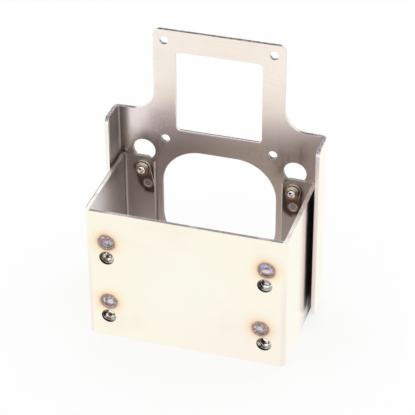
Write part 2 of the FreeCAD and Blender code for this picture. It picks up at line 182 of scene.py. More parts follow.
class Finish:
    """A material with one Principled shader, built from nodes."""

    def __init__(self, name):
        self.material = bpy.data.materials.new(name)
        self.material.use_nodes = True
        self.tree = self.material.node_tree
        self.shader = self.tree.nodes["Principled BSDF"]
        self.place = self.read("TexCoord", "Object")
        self.x, self.y, self.z = self.split(self.place)

    def node(self, kind, settings, inputs, output=0):
        """One node: its settings first, then the values or links of its sockets."""
        made = self.tree.nodes.new("ShaderNode" + kind)
        stops = settings.pop("stops", [])
        for key, setting in settings.items():
            setattr(made, key, setting)
        for _ in range(len(stops) - 2):
            made.color_ramp.elements.new(1.0)
        for index, (position, color) in enumerate(stops):
            made.color_ramp.elements[index].position = position
            made.color_ramp.elements[index].color = (*color, 1.0)
        for key, given in inputs.items():
            self.feed(made.inputs[key], given)
        return Wire(self, made.outputs[output])

    def feed(self, socket, given):
        """Link a wire to a socket, or set the socket to a number, vector or colour."""
        if isinstance(given, Wire):
            self.tree.links.new(given.socket, socket)
        elif socket.type == "RGBA":
            socket.default_value = (*given, 1.0)
        else:
            socket.default_value = given

    def read(self, kind, output):
        """Output of a node that has no inputs to set."""
        return self.node(kind, {}, {}, output)

    def split(self, wire):
        """The three numbers of a vector."""
        parts = self.node("SeparateXYZ", {}, {0: wire}).socket.node
        return [Wire(self, socket) for socket in parts.outputs]

    def normal(self):
        return self.split(self.read("NewGeometry", "Normal"))

    def tint(self, factor, first, second, kind="MIX"):
        """Mix of two colours."""
        return self.node("Mix", {"data_type": "RGBA", "blend_type": kind, "clamp_factor": True},
                         {0: factor, 6: first, 7: second}, 2)

    def noise(self, size, stretch=(1, 1, 1), detail=2.0, shift=(0, 0, 0)):
        """Noise about 0.5, with features of a size in metres, stretched along each axis."""
        scale = tuple(1.0 / s for s in stretch)
        mapped = self.node("Mapping", {}, {"Vector": self.place, "Location": shift, "Scale": scale})
        return self.node("TexNoise", {}, {"Vector": mapped, "Scale": 1.0 / size, "Detail": detail})

    def bump(self, height, distance, strength):
        return self.node("Bump", {}, {"Strength": strength, "Distance": distance, "Height": height})

    def wear(self, **sockets):
        """Set or link sockets of the shader by name."""
        for key, given in sockets.items():
            self.feed(self.shader.inputs[key.replace("_", " ")], given)
        return self.material


# colours are linear
WARM_WHITE = (1.0, 0.96, 0.815)
LEMON_WHITE = (1.0, 0.985, 0.88)
BUFF_WHITE = (1.0, 0.95, 0.81)
ROSE_WHITE = (0.98, 0.88, 0.81)
BLUSH = (1.0, 0.90, 0.80)
BLUSH_PALE = (1.0, 0.93, 0.86)
BLUSH_GREY = (0.90, 0.80, 0.76)
OLIVE_GREY = (0.49, 0.41, 0.37)
OLIVE_DARK = (0.35, 0.30, 0.26)
OLIVE_SHADE = (0.15, 0.12, 0.10)
LILAC_PALE = (0.98, 0.93, 0.96)
LILAC_GREY = (0.72, 0.66, 0.66)
ROSE_PALE = (0.96, 0.87, 0.86)
ROSE_GREY = (0.94, 0.85, 0.82)
# painted shade, in the gaps by the flanges and on sawn edges that face up
SHADE_DARK = (0.13, 0.11, 0.10)
# grey of sawn steel, also painted shade in the folds of the box
SAWN_GREY_AND_SHADE = (0.27, 0.225, 0.22)
SAWN_LILAC = (0.55, 0.49, 0.54)
# pale sawn steel, also painted highlights on rims and edges
SAWN_PALE_AND_HIGHLIGHT = (1.0, 0.94, 0.91)
# painted shade for the inner walls away from the front panel, and for the returns
WALL_SHADE = (0.60, 0.54, 0.50)
RETURN_SHADE = (0.355, 0.31, 0.275)
NEAR_BLACK = (0.012, 0.009, 0.008)
WALL_BAND_PALE = (1.0, 0.93, 0.82)
# painted shade round the joint nuts
NUT_SHADE_BROWN = (0.075, 0.045, 0.035)
MARK_PALE = (0.88, 0.84, 0.92)
MARK_DARK = (0.26, 0.21, 0.23)
STEEL_PALE = (1.0, 0.95, 0.91)
STEEL_LIT = (1.0, 0.95, 0.86)
BRONZE_DARK = (0.13, 0.09, 0.055)
BRONZE = (0.30, 0.22, 0.135)
BRONZE_LIT = (0.74, 0.62, 0.46)
TURNED_PALE = (0.92, 0.82, 0.76)
# painted shade in the step of a nut
STEP_SHADE = (0.10, 0.06, 0.04)
SEAT_BROWN = (0.30, 0.24, 0.20)
BORE_BLACK = (0.05, 0.04, 0.03)
BORE_WHITE = (1.0, 0.95, 0.89)
# painted shadows in the hollow end of a screw
HOLLOW_SHADE_BLACK = (0.03, 0.02, 0.02)
HOLLOW_SHADE_BROWN = (0.20, 0.13, 0.10)
FLOOR_WHITE = (0.95, 0.95, 0.95)

BOX_SHADES = (WARM_WHITE, BUFF_WHITE, ROSE_WHITE)
PLATE_SHADES = (BLUSH, BLUSH_PALE, BLUSH_GREY)


# distances and masks on the part
def oval(finish, centre, flat=1.0):
    """Distance from a place given across and up, in millimetres, upwards counted flat times."""
    across = (finish.x - centre[0]) / MM
    up = (finish.z - centre[1]) / MM * flat
    return (across * across + up * up).root()


def nearest(finish, centres):
    """Distance from the nearest of some places, in millimetres."""
    first, *others = [oval(finish, centre) for centre in centres.values()]
    for other in others:
        first = first.smaller(other)
    return first


def patch(finish, origin, mark, ripple):
    """Soft mask of a mark: its place across and up from an origin, radius, all in mm, and flatness."""
    across, up, radius, flat = mark
    centre = (origin[0] + across * MM, origin[1] + up * MM)
    return (oval(finish, centre, flat) + ripple).fall(radius * 0.55, radius)


def ramp(finish, distance, stops):
    """Colour by a distance in millimetres."""
    reach = stops[-1][0]
    scaled = [(position / reach, color) for position, color in stops]
    return finish.node("ValToRGB", {"stops": scaled}, {0: distance / reach})


def middle_distance(across, along):
    """Distance outside the middle of a folded sheet, from how far a point is past each bend centre."""
    past_across = across.larger(0.0)
    past_along = along.larger(0.0)
    outer = (past_across * past_across + past_along * past_along).root()
    return outer + across.larger(along).smaller(0.0) - MIDDLE_BEND


def box_distance(finish):
    """Distance outside the middle of the box's sheet."""
    centre = (PANEL_FACE + PLATE_FRONT) / 2
    half_depth = (PLATE_FRONT - PANEL_FACE - SHEET) / 2
    across = finish.x.absolute() - (BOX_SIDE - SHEET / 2 - MIDDLE_BEND)
    along = (finish.y - centre).absolute() - (half_depth - MIDDLE_BEND)
    return middle_distance(across, along)


def plate_distance(finish):
    """Distance outside the middle of the back plate's sheet."""
    across = finish.x.absolute() - (PLATE_SIDE - SHEET / 2 - MIDDLE_BEND)
    along = finish.y - (PLATE_BACK - SHEET / 2 - MIDDLE_BEND)
    return middle_distance(across, along)


def outer_face(distance):
    return distance.rise(1.0 * MM, 1.18 * MM)


def inner_face(distance):
    return distance.fall(-1.15 * MM, -0.95 * MM)


# what both sheets share: the drift of shade, the outer faces and the grain
def clouds(finish):
    return finish.noise(30 * MM, (1, 1, 0.7), 2.5, (0.13, 0.2, 0.31))


def sheet_shade(finish, shades):
    """Bare steel that drifts between three close shades."""
    broad = finish.noise(55 * MM, (1, 1, 1.6), 1.5)
    shade = finish.tint(broad.rise(0.35, 0.65), shades[0], shades[1])
    return finish.tint(clouds(finish).rise(0.50, 0.80) * 0.5, shade, shades[2])


def outer_color(finish, shade):
    """Outer faces of a sheet: warm white on the sides and flanges, the sheet's own shade elsewhere."""
    on_side = finish.x.absolute().rise(58 * MM, 60 * MM)
    return finish.tint(on_side, shade, WARM_WHITE)


def grained(finish, color, outside, dull, rougher=0.0):
    """Finish a sheet with its upright grain, fainter outside, and with less metallic dull parts."""
    grain = finish.noise(1.0 * MM, (1, 1, 50), 1.0) - 0.5
    streak = finish.noise(4.0 * MM, (1, 1, 25), 2.0, (0.4, 0.1, 0.2)) - 0.5
    scratch = finish.noise(0.7 * MM, (30, 1, 1), 2.0, (0.0, 0.3, 0.8)) - 0.5
    faint = 1.0 - outside * 0.65
    tone = 1.0 + (grain * 0.06 + streak * 0.03) * faint + scratch * (1.0 - outside) * 0.12
    grey = finish.node("CombineXYZ", {}, {0: tone, 1: tone, 2: tone})
    roughness = 0.30 - outside * 0.15 + grain * 0.08 + (clouds(finish) - 0.5) * 0.10 + rougher
    relief = (grain + streak * 0.6) * faint
    return finish.wear(Base_Color=finish.tint(1.0, color, grey, "MULTIPLY"),
                       Metallic=1.0 - dull * 0.75,
                       Roughness=roughness + dull * 0.35,
                       Normal=finish.bump(relief, 0.008 * MM, 0.5))


# finish of the box
def panel_mask(finish):
    """The front panel, from its face to its inside."""
    return finish.y.fall(PANEL_BACK + 0.3 * MM, PANEL_BACK + 0.5 * MM)


def panel_skin(finish):
    """The face of the front panel with the electrode marks."""
    return finish.y.fall(PANEL_FACE + 0.7 * MM, PANEL_FACE + 1.0 * MM)


def side_walls(finish):
    """The side walls of the box, outside, below their top edge."""
    return (finish.x.absolute().rise(BOX_SIDE - 1.0 * MM, BOX_SIDE - 0.5 * MM)
            * finish.z.fall(BOX_TOP - 0.6 * MM, BOX_TOP - 0.3 * MM))


def free_edges(finish):
    """The upright edges of the returns."""
    return (finish.x.absolute().fall(RETURN_EDGE + 0.4 * MM, RETURN_EDGE + 0.6 * MM)
            * finish.y.rise(RETURN_FACE - 9 * MM, RETURN_FACE - 8 * MM))


def free_edge_color(finish):
    """Colour of the upright edges of the returns, with painted light: brighter near their tops and on the
    right, with painted shade lower down and on the left.
    """
    color = finish.tint(finish.z.rise(58 * MM, 70 * MM), BLUSH_GREY, SAWN_PALE_AND_HIGHLIGHT)
    return finish.tint(finish.x.fall(-1 * MM, 1 * MM) * 0.5, color, RETURN_SHADE)


def box_inside(finish):
    """Inner faces of the box, lit and shaded by paint: a painted sheen towards the front panel, a painted
    highlight along the top rim, and painted shade in the folds and on the returns.
    """
    color = finish.tint(finish.y.fall(-20 * MM, 26 * MM), WALL_SHADE, LILAC_PALE)
    # painted highlight along the top rim
    rim = finish.z.rise(BOX_TOP - 0.7 * MM, BOX_TOP - 0.5 * MM)
    color = finish.tint(rim * 0.7, color, SAWN_PALE_AND_HIGHLIGHT)
    by_side = finish.x.absolute().rise(SIDE_INNER - 2.7 * MM, SIDE_INNER - INNER_BEND)
    # painted shade on the returns and in the folds beside them
    on_return = finish.y.rise(RETURN_FACE - 0.5 * MM, RETURN_FACE - 0.2 * MM)
    color = finish.tint(on_return * (1.0 - by_side), color, RETURN_SHADE)
    in_fold = by_side * finish.y.rise(RETURN_FACE - 3.3 * MM, RETURN_FACE - 2.1 * MM)
    return finish.tint(in_fold * 0.68, color, SAWN_GREY_AND_SHADE)


def box_cuts(finish):
    """Sawn edges of the box: bright on the side walls, grey on the front panel and the returns."""
    saw = finish.noise(0.9 * MM, (1, 1, 1), 1.0)
    drift = finish.noise(14 * MM, (1, 1, 1), 1.0, (0.3, 0.0, 0.4))
    blotch = finish.noise(9 * MM, (1, 1, 1), 1.0, (0.5, 0.0, 0.1))
    grey = finish.tint(saw.rise(0.35, 0.65) * 0.25, SAWN_GREY_AND_SHADE, LILAC_PALE)
    grey = finish.tint(drift.rise(0.48, 0.62) * 0.35, grey, SAWN_PALE_AND_HIGHLIGHT)
    pale = finish.tint(blotch.rise(0.45, 0.70) * 0.3, SAWN_PALE_AND_HIGHLIGHT, SAWN_GREY_AND_SHADE)
    on_side = finish.x.absolute().rise(SIDE_INNER - 0.9 * MM, SIDE_INNER - 0.1 * MM)
    color = finish.tint(on_side, grey, pale)
    left_rim = finish.x.fall(0.5 * MM - BOX_SIDE, 0.8 * MM - BOX_SIDE)
    return finish.tint(left_rim * 0.8, color, SAWN_GREY_AND_SHADE)


def panel_tone_and_shade(finish, color):
    """The panel is clearest in its middle, with a rosy painted shade at its lower right and a grey-pink
    painted shade on its lower bends.
    """
    panel = panel_mask(finish)
    middle = oval(finish, (0.0, 42 * MM)).fall(12, 42)
    color = finish.tint(middle * panel * 0.8, color, LEMON_WHITE)
    low_right = finish.z.fall(0, 60 * MM) * finish.x.rise(-40 * MM, 45 * MM)
    bend = (finish.x.absolute().rise(57.2 * MM, 58.8 * MM)
            * finish.y.fall(PANEL_BACK - 1.1 * MM, PANEL_BACK + 0.5 * MM))
    low_bend = bend * finish.z.fall(30 * MM, 78 * MM)
    rosy = (low_right * 0.55).larger(low_bend * 0.9)
    color = finish.tint(rosy * panel, color, ROSE_WHITE)
    return finish.tint(low_bend * 0.35, color, BLUSH_GREY)


# tint of the steel round an electrode mark, by the distance from its centre in millimetres
HEAT_STOPS = [
    (0.0, (0.66, 0.60, 0.64)),
    (3.0, (0.56, 0.51, 0.57)),
    (3.7, (0.42, 0.34, 0.37)),
    (4.3, (0.31, 0.22, 0.21)),
    (4.9, (0.37, 0.25, 0.23)),
    (5.4, (0.64, 0.47, 0.39)),
    (6.0, (0.91, 0.73, 0.60)),
    (7.0, (0.98, 0.86, 0.75)),
    (8.5, (1.0, 0.94, 0.86)),
    (10.5, (1.0, 0.98, 0.95)),
    (13.0, (1.0, 1.0, 1.0)),
]

# patches left by each electrode: across and up from the weld's centre, radius, all in
# millimetres, flatness, and colour
WELD_PATCHES = {
    ("upper", "left"): [
        (-2.1, 3.2, 1.2, 1.6, (0.68, 0.66, 0.80)),
        (-2.9, 0.9, 1.3, 0.7, (0.33, 0.29, 0.36)),
        (0.0, 0.3, 1.5, 1.0, (0.72, 0.58, 0.58)),
        (2.6, 0.0, 1.0, 0.6, (0.58, 0.66, 0.74)),
    ],
    ("upper", "right"): [
        (-2.2, 2.3, 1.9, 1.2, (0.36, 0.50, 0.80)),
        (0.0, 2.9, 1.2, 1.5, (0.74, 0.78, 0.82)),
        (-0.2, -3.3, 2.9, 3.0, (0.22, 0.13, 0.12)),
        (2.6, 0.3, 1.2, 0.6, (0.66, 0.58, 0.86)),
        (-0.1, -0.8, 2.7, 1.7, (0.98, 0.80, 0.68)),
    ],
    ("lower", "left"): [
        (-3.9, 0.4, 0.7, 0.3, (0.30, 0.25, 0.22)),
        (-2.9, 0.2, 0.6, 0.3, (0.92, 0.86, 0.82)),
        (-0.6, -2.0, 2.4, 1.3, (0.28, 0.22, 0.23)),
        (0.8, -0.1, 2.5, 1.1, (0.86, 0.79, 0.88)),
    ],
    ("lower", "right"): [
        (-0.4, 3.2, 1.5, 1.6, (0.24, 0.22, 0.16)),
        (1.0, -3.3, 1.6, 1.5, (0.26, 0.19, 0.15)),
        (-3.2, 0.9, 0.7, 0.8, (0.92, 0.74, 0.76)),
        (-0.3, 0.0, 2.2, 1.1, (0.72, 0.69, 0.72)),
    ],
}


def waver(finish):
    """Slow noise that keeps the rings and the painted shade round the joint nuts from being even."""
    return finish.noise(8 * MM, (1, 1, 1), 1.0, (0.2, 0.6, 0.0)) - 0.5


def weld_inside(finish):
    """The steel inside the ring of each electrode mark."""
    return nearest(finish, PANEL_WELDS).fall(4.2, 5.0) * panel_skin(finish)


def weld_marks(finish, color):
    """Brown ring and peach halo round each electrode mark, and the mottled steel inside the ring."""
    skin = panel_skin(finish)
    away = nearest(finish, PANEL_WELDS)
    ragged = finish.noise(1.6 * MM, (1, 1, 1), 2.0, (0.7, 0.3, 0.0)) - 0.5
    ring = away + ragged + waver(finish) * 1.6 * away.rise(3.5, 8.0)
    heated = finish.tint(1.0, color, ramp(finish, ring, HEAT_STOPS), "MULTIPLY")
    color = finish.tint(skin, color, heated)
    inside = weld_inside(finish)
    fine = finish.noise(1.0 * MM, (1, 1, 1), 2.0, (0.1, 0.9, 0.4))
    color = finish.tint(fine.rise(0.50, 0.62) * inside * 0.45, color, MARK_PALE)
    color = finish.tint(fine.fall(0.36, 0.46) * inside * 0.55, color, MARK_DARK)
    for key, patches in WELD_PATCHES.items():
        for *mark, tone in patches:
            mask = patch(finish, PANEL_WELDS[key], mark, ragged * 1.4)
            color = finish.tint(mask * skin * 0.85, color, tone)
    return color


def hole_walls(finish, color):
    """Punched holes of the panel, on the walls that face up and right: black at the front edge, with a
    pale band behind it.
    """
    across, _, up = finish.normal()
    facing = (across * 0.6 + up).rise(-0.25, 0.25)
    wall = nearest(finish, PANEL_HOLES).fall(4.60, 4.68) * panel_mask(finish) * facing
    pale_band = finish.y.within(PANEL_FACE + 1.5 * MM, PANEL_FACE + 2.1 * MM, 0.15 * MM)
    return finish.tint(wall, color, finish.tint(pale_band, NEAR_BLACK, WALL_BAND_PALE))


def flange_shade(finish, color):
    """Painted shade on the side walls: they turn grey and then dark where the flanges stand beside them,
    and near black low down towards the back.
    """
    walls = side_walls(finish)
    color = finish.tint(finish.y.rise(-6 * MM, 7 * MM) * walls * 0.7, color, LILAC_GREY)
    color = finish.tint(finish.y.rise(3 * MM, 17 * MM) * walls * 0.88, color, SHADE_DARK)
    foot = finish.y.rise(12 * MM, 22 * MM) * finish.z.fall(6 * MM, 16 * MM)
    return finish.tint(foot * walls, color, NEAR_BLACK)


# radius of a joint nut's outline and of the end of its tab, in millimetres
NUT_OUTLINE = 4.2


def around_nut(finish, key):
    """Distance outside the outline of a joint nut and its tab, in millimetres."""
    axis = JOINT_AXES[key]
    tab = JOINT_TABS[key]
    run_across = (tab[0] - axis[0]) / MM
    run_up = (tab[1] - axis[1]) / MM
    across = (finish.x - axis[0]) / MM
    up = (finish.z - axis[1]) / MM
    share = (across * run_across + up * run_up) / (run_across ** 2 + run_up ** 2)
    share = share.larger(0.0).smaller(1.0)
    past_across = across - share * run_across
    past_up = up - share * run_up
    return (past_across * past_across + past_up * past_up).root() - NUT_OUTLINE


def joint_nut_shade(finish, color):
    """Painted shade round the joint nuts, under them and on the side of them that is nearer to the large
    opening.
    """
    on_return = finish.y.rise(RETURN_FACE - 0.3 * MM, RETURN_FACE - 0.1 * MM) * (1.0 - free_edges(finish))
    uneven = waver(finish) * 2.0
    for key, (across, up) in JOINT_AXES.items():
        low = finish.z.fall(up - 1 * MM, up + 5 * MM)
        inner = finish.x.absolute().fall(46 * MM, 48 * MM) * finish.z.fall(up - 2 * MM, up + 6 * MM)
        away = around_nut(finish, key) + uneven
        reach = away.fall(2.0, 6.0)
        shade_amount = (away.fall(0.3, 3.4) * low.larger(inner)).larger(reach * inner) * 0.85 + 0.15
        color = finish.tint(shade_amount * on_return * reach, color, NUT_SHADE_BROWN)
    return color


def box_steel():
    finish = Finish("box_steel")
    distance = box_distance(finish)
    outside = outer_face(distance)
    color = finish.tint(inner_face(distance), box_cuts(finish), box_inside(finish))
    color = finish.tint(free_edges(finish), color, free_edge_color(finish))
    color = finish.tint(outside, color, outer_color(finish, sheet_shade(finish, BOX_SHADES)))
    for mark in (panel_tone_and_shade, weld_marks, hole_walls, flange_shade, joint_nut_shade):
        color = mark(finish, color)
    foot = side_walls(finish) * finish.y.rise(12 * MM, 20 * MM) * finish.z.fall(8 * MM, 16 * MM)
    return grained(finish, color, outside, free_edges(finish).larger(foot), weld_inside(finish) * 0.08)


# patches of painted shade on the front of the back plate: across, up, radius, all in millimetres, and
# flatness
SHADE_PATCHES = [(41.5, 100.0, 11.0, 0.8), (51.0, 104.0, 7.0, 0.5), (37.0, 93.0, 7.0, 0.6),
           (-38.5, 97.0, 8.0, 0.8), (-45.5, 98.0, 6.0, 0.5), (-41.0, 90.0, 6.0, 1.0)]
# small dark nicks on the edge of the left shoulder, given in the same way
NICKS = [(-45.5, 132.2, 0.9, 0.7), (-43.0, 128.8, 0.9, 0.6)]


def plate_face(finish, shade):
    """Front of the back plate, lit and shaded by paint: a painted highlight at the top of the neck and a
    rosy one on the left shoulder, and painted shade below.
    """
    # painted shade below the lit parts, deeper on the left, round the side holes and by the left flange
    dull = finish.tint(finish.x.fall(-36 * MM, -6 * MM) * 0.8, OLIVE_GREY, OLIVE_DARK)
    round_holes = nearest(finish, SIDE_HOLES).fall(7.0, 10.5)
    dull = finish.tint(round_holes * 0.45, dull, OLIVE_DARK)
    lit = finish.tint(finish.z.fall(108 * MM, 134 * MM), shade, ROSE_PALE)
    neck = (finish.z - finish.x * 0.20).rise(96 * MM, 126 * MM)
    shoulder = oval(finish, (-47 * MM, 113 * MM), math.sqrt(1.4)).fall(7, 24)
    by_flange = finish.x.rise(-58.5 * MM, -54.5 * MM) * 0.85 + 0.15
    return finish.tint(neck.larger(shoulder) * by_flange, dull, lit)


def plate_wear_and_shade(finish, color):
    """Scuffs on the left shoulder, faint streaky patches of painted shade, and nicks."""
    scuff = finish.noise(1.1 * MM, (0.8, 1, 1.6), 3.0, (0.6, 0.2, 0.4))
    scuffed = (finish.x.within(-40 * MM, -34 * MM, 6 * MM)
               * finish.z.rise(96 * MM, 104 * MM) * finish.z.fall(117 * MM, 124 * MM))
    color = finish.tint(scuffed * 0.25, color, OLIVE_GREY)
    color = finish.tint(scuff.rise(0.52, 0.59) * scuffed * 0.8, color, ROSE_PALE)
    streaks = finish.noise(3.0 * MM, (1, 1, 2.5), 2.0, (0.2, 0.5, 0.9)).rise(0.30, 0.70) * 0.35 + 0.20
    for across, up, radius, flat in SHADE_PATCHES:
        soft = oval(finish, (across * MM, up * MM), flat).fall(0, radius)
        color = finish.tint(soft * streaks, color, OLIVE_SHADE)
    for nick in NICKS:
        color = finish.tint(patch(finish, (0.0, 0.0), nick, (scuff - 0.5) * 2.0), color, OLIVE_SHADE)
    return color


def inside_flanges(finish):
    return finish.x.absolute().rise(FLANGE_INNER - 0.8 * MM, FLANGE_INNER - 0.1 * MM)


def behind_flange_fronts(finish):
    return finish.y.rise(FLANGE_FRONT + 1.1 * MM, FLANGE_FRONT + 2.3 * MM)


def flange_fronts(finish):
    """The front edges of the flanges: lemon white on the left, rosy on the right."""
    return finish.tint(finish.x.rise(-1 * MM, 1 * MM), LEMON_WHITE, ROSE_GREY)


def plate_inside(finish, shade):
    """Inner faces of the back plate, with painted shade on the insides of the flanges, darkest at their
    tops.
    """
    color = plate_wear_and_shade(finish, plate_face(finish, shade))
    flange_top = inside_flanges(finish) * finish.z.rise(88 * MM, 104 * MM)
    color = finish.tint(flange_top * 0.72, color, SHADE_DARK)
    return finish.tint(behind_flange_fronts(finish), flange_fronts(finish), color)


def plate_cuts(finish):
    """Sawn edges of the back plate: dark with painted shade where they face up, grey in the large
    openings, else bright.
    """
    across, _, up = finish.normal()
    speck = finish.noise(1.1 * MM, (1, 1, 1), 1.0).rise(0.45, 0.60)
    opening = finish.z.fall(98 * MM, 104 * MM) * across.rise(0.1, 0.6)
    color = finish.tint(opening, finish.tint(0.25, SAWN_PALE_AND_HIGHLIGHT, SAWN_GREY_AND_SHADE), SAWN_GREY_AND_SHADE)
    dark = finish.tint(speck * 0.25, SHADE_DARK, SAWN_PALE_AND_HIGHLIGHT)
    # a thin painted highlight runs along the bottom of the square window
    window = finish.z.within(105 * MM, 112 * MM, 1 * MM)
    window_glint = finish.y.within(PLATE_FRONT + 0.7 * MM, PLATE_FRONT + 1.1 * MM, 0.2 * MM)
    dark = finish.tint(window * window_glint, dark, SAWN_PALE_AND_HIGHLIGHT)
    # on the shoulders the painted shade stops short of the neck
    outer = (finish.x + 3 * MM).absolute()
    unshaded = outer.within(40 * MM, 48 * MM, 2 * MM) * finish.z.fall(140 * MM, 150 * MM)
    facing_up = up.rise(0.90, 0.985) * (1.0 - unshaded)
    hole_floor = up.rise(0.1, 0.6) * nearest(finish, MOTOR_HOLES).fall(3.4, 3.6) * (1.0 - speck * 0.4)
    color = finish.tint(facing_up.larger(hole_floor), color, dark)
    rising = up.rise(0.3, 0.6)
    corner = finish.x.absolute().rise(56 * MM, 60 * MM) * rising
    color = finish.tint(corner, color, finish.tint(speck, SAWN_GREY_AND_SHADE, SAWN_LILAC))
    front = finish.y.fall(FLANGE_FRONT + 0.7 * MM, FLANGE_FRONT + 1.3 * MM) * (1.0 - rising)
    return finish.tint(front, color, flange_fronts(finish))


def plate_steel():
    finish = Finish("plate_steel")
    distance = plate_distance(finish)
    outside = outer_face(distance)
    inside = inner_face(distance)
    shade = sheet_shade(finish, PLATE_SHADES)
    color = finish.tint(inside, plate_cuts(finish), plate_inside(finish, shade))
    color = finish.tint(outside, color, outer_color(finish, shade))
    dull = inside * inside_flanges(finish) * behind_flange_fronts(finish)
    return grained(finish, color, outside, dull)


# colours of a nut by the distance from the weld on its tab, in millimetres: the weld, then heat tint
# darkened with painted shade near the tab, and a painted highlight at the far end, the top of the upper
# joint nuts
NUT_STOPS = [
    (0.0, (0.24, 0.23, 0.21)),
    (1.7, (0.22, 0.20, 0.18)),
    (2.2, (0.42, 0.37, 0.32)),
    (2.7, (0.30, 0.24, 0.20)),
    (3.3, (0.11, 0.07, 0.05)),
    (4.8, (0.10, 0.065, 0.045)),
    (6.8, (0.15, 0.10, 0.07)),
    (9.5, (0.34, 0.25, 0.17)),
    (12.0, (0.85, 0.76, 0.64)),
    (14.0, (1.0, 0.96, 0.90)),
]

# painted highlights and painted shade inside the panel nuts: across and up from the axis, radius, all in
# millimetres, flatness, and colour
BORE_HIGHLIGHTS_AND_SHADE = {
    ("upper", "left"): [
        (-2.2, -0.6, 1.3, 0.8, (1.0, 0.90, 0.88)),
        (-1.6, -2.4, 1.3, 1.0, (0.10, 0.08, 0.07)),
        (0.6, -2.6, 1.2, 0.8, (1.0, 0.97, 0.94)),
        (-4.0, -0.8, 0.8, 0.6, (0.16, 0.13, 0.11)),
    ],
    ("upper", "right"): [
        (-2.8, -1.4, 1.8, 0.7, (0.02, 0.015, 0.01)),
        (0.3, -2.3, 2.0, 0.8, (0.88, 0.94, 1.0)),
        (-1.2, 1.6, 2.0, 1.2, (0.50, 0.44, 0.46)),
        (-3.4, -2.2, 0.7, 0.6, (0.26, 0.16, 0.10)),
    ],
    ("lower", "left"): [
        (-3.2, -0.9, 1.2, 0.6, (0.05, 0.04, 0.03)),
        (-2.2, -1.9, 0.8, 0.6, (1.0, 0.96, 0.90)),
        (1.0, -1.4, 1.0, 0.8, (0.95, 0.92, 0.86)),
        (-0.4, 0.8, 2.0, 1.5, (1.0, 0.95, 0.88)),
    ],
    ("lower", "right"): [
        (-1.8, -1.6, 1.5, 0.7, (0.02, 0.015, 0.01)),
        (0.9, -2.6, 1.4, 0.7, (1.0, 0.98, 0.96)),
        (0.2, 0.9, 2.0, 1.2, (1.0, 0.93, 0.86)),
        (-3.4, -2.4, 1.0, 0.6, (0.95, 0.90, 0.84)),
    ],
}


def nut_end(finish, axes, mottle):
    """Bronze end face of a nut, darkened with painted shade, and with a painted highlight above its axis.
    """
    above = {key: (across, up + 3.2 * MM) for key, (across, up) in axes.items()}
    bronze = finish.tint(mottle, BRONZE_DARK, BRONZE)
    return finish.tint(nearest(finish, above).fall(1.2, 4.2) * 0.7, bronze, BRONZE_LIT)


def nut_bore(finish, axes, mottle, bore):
    """Bore of a nut and the seat round it: black with painted shade on the left, bright with a painted
    highlight on the right.
    """
    across = axes["upper", "right"][0]
    to_right = (finish.x.absolute() - across) * finish.x.sign() / MM + (mottle - 0.5) * 2.4
    black = finish.tint(bore, SEAT_BROWN, BORE_BLACK)
    return finish.tint(to_right.rise(-0.2, 1.6), black, BORE_WHITE)


def nut_steel(name, axes, tabs, end, inwards, patches):
    """Turned steel, heat-tinted and darkened with painted shade towards the welded tab, with a painted
    highlight away from it and a bronze end face.
    """
    finish = Finish(name)
    mottle = finish.noise(1.2 * MM)
    from_axis = nearest(finish, axes)
    from_end = (finish.y - end) * inwards
    _, along, up = finish.normal()
    color = ramp(finish, nearest(finish, tabs) + (mottle - 0.5) * 1.4, NUT_STOPS)
    base_edge = from_end.rise(3.0 * MM, 3.1 * MM) * along.absolute().fall(0.3, 0.6)
    color = finish.tint(base_edge * 0.9, color, TURNED_PALE)
    end_face = from_end.fall(0.45 * MM, 0.7 * MM)
    color = finish.tint(end_face * 0.95, color, nut_end(finish, axes, mottle))
    bore = from_axis.fall(2.6, 2.8)
    seat = from_end.rise(4.0 * MM, 4.1 * MM) * from_axis.fall(4.3, 4.6)
    bore_and_seat = bore.larger(seat)
    color = finish.tint(bore_and_seat * 0.9, color, nut_bore(finish, axes, mottle, bore))
    # painted highlights and painted shade inside the panel nuts
    for key, marks in patches.items():
        for *mark, tone in marks:
            mask = patch(finish, axes[key], mark, (mottle - 0.5) * 1.2)
            color = finish.tint(mask * bore_and_seat, color, tone)
    # painted light from above on the barrel and base, with a line of painted shade in the step between
    # them
    top = up.rise(0.2, 0.7) * from_axis.rise(3.4, 3.6) * from_end.rise(0.5 * MM, 0.8 * MM)
    color = finish.tint(top * 0.85, color, STEEL_LIT)
    step = from_end.rise(2.3 * MM, 2.6 * MM) * from_end.fall(3.1 * MM, 3.2 * MM) * from_axis.fall(4.5, 4.6)
    color = finish.tint(step * 0.9, color, STEP_SHADE)
    return finish.wear(Base_Color=color,
                       Metallic=1.0 - base_edge.larger(top) * 0.6 * (1.0 - step),
                       Roughness=0.24 + (mottle - 0.5) * 0.2,
                       Normal=finish.bump(mottle, 0.02 * MM, 0.5))


def shifted(axes, across, up):
    """The same places, moved across and up by millimetres."""
    return {key: (axis[0] + across * MM, axis[1] + up * MM) for key, axis in axes.items()}


def screw_steel():
    """Bright steel, with painted shadows in the hollow that thread rolling leaves in the end: a black spot
    and a brown one.
    """
    finish = Finish("screw_steel")
    speck = finish.noise(0.9 * MM, (1, 1, 1), 1.0, (0.2, 0.0, 0.1))
    ripple = (speck - 0.5) * 0.5
    tip = finish.y.fall(26 * MM, 27 * MM)
    hollow_shadow = (nearest(finish, shifted(JOINT_AXES, -0.75, 1.0)) + ripple).fall(0.7, 1.0)
    rim_shadow = (nearest(finish, shifted(JOINT_AXES, 0.1, -1.2)) + ripple).fall(0.6, 1.0)
    color = finish.tint(hollow_shadow * tip, STEEL_PALE, HOLLOW_SHADE_BLACK)
    color = finish.tint(rim_shadow * tip * 0.85, color, HOLLOW_SHADE_BROWN)
    return finish.wear(Base_Color=color,
                       Metallic=1.0,
                       Roughness=0.25 + (speck - 0.5) * 0.1,
                       Normal=finish.bump(speck, 0.03 * MM, 0.5))


# modelling by operators
def deselect():
    bpy.ops.object.select_all(action="DESELECT")


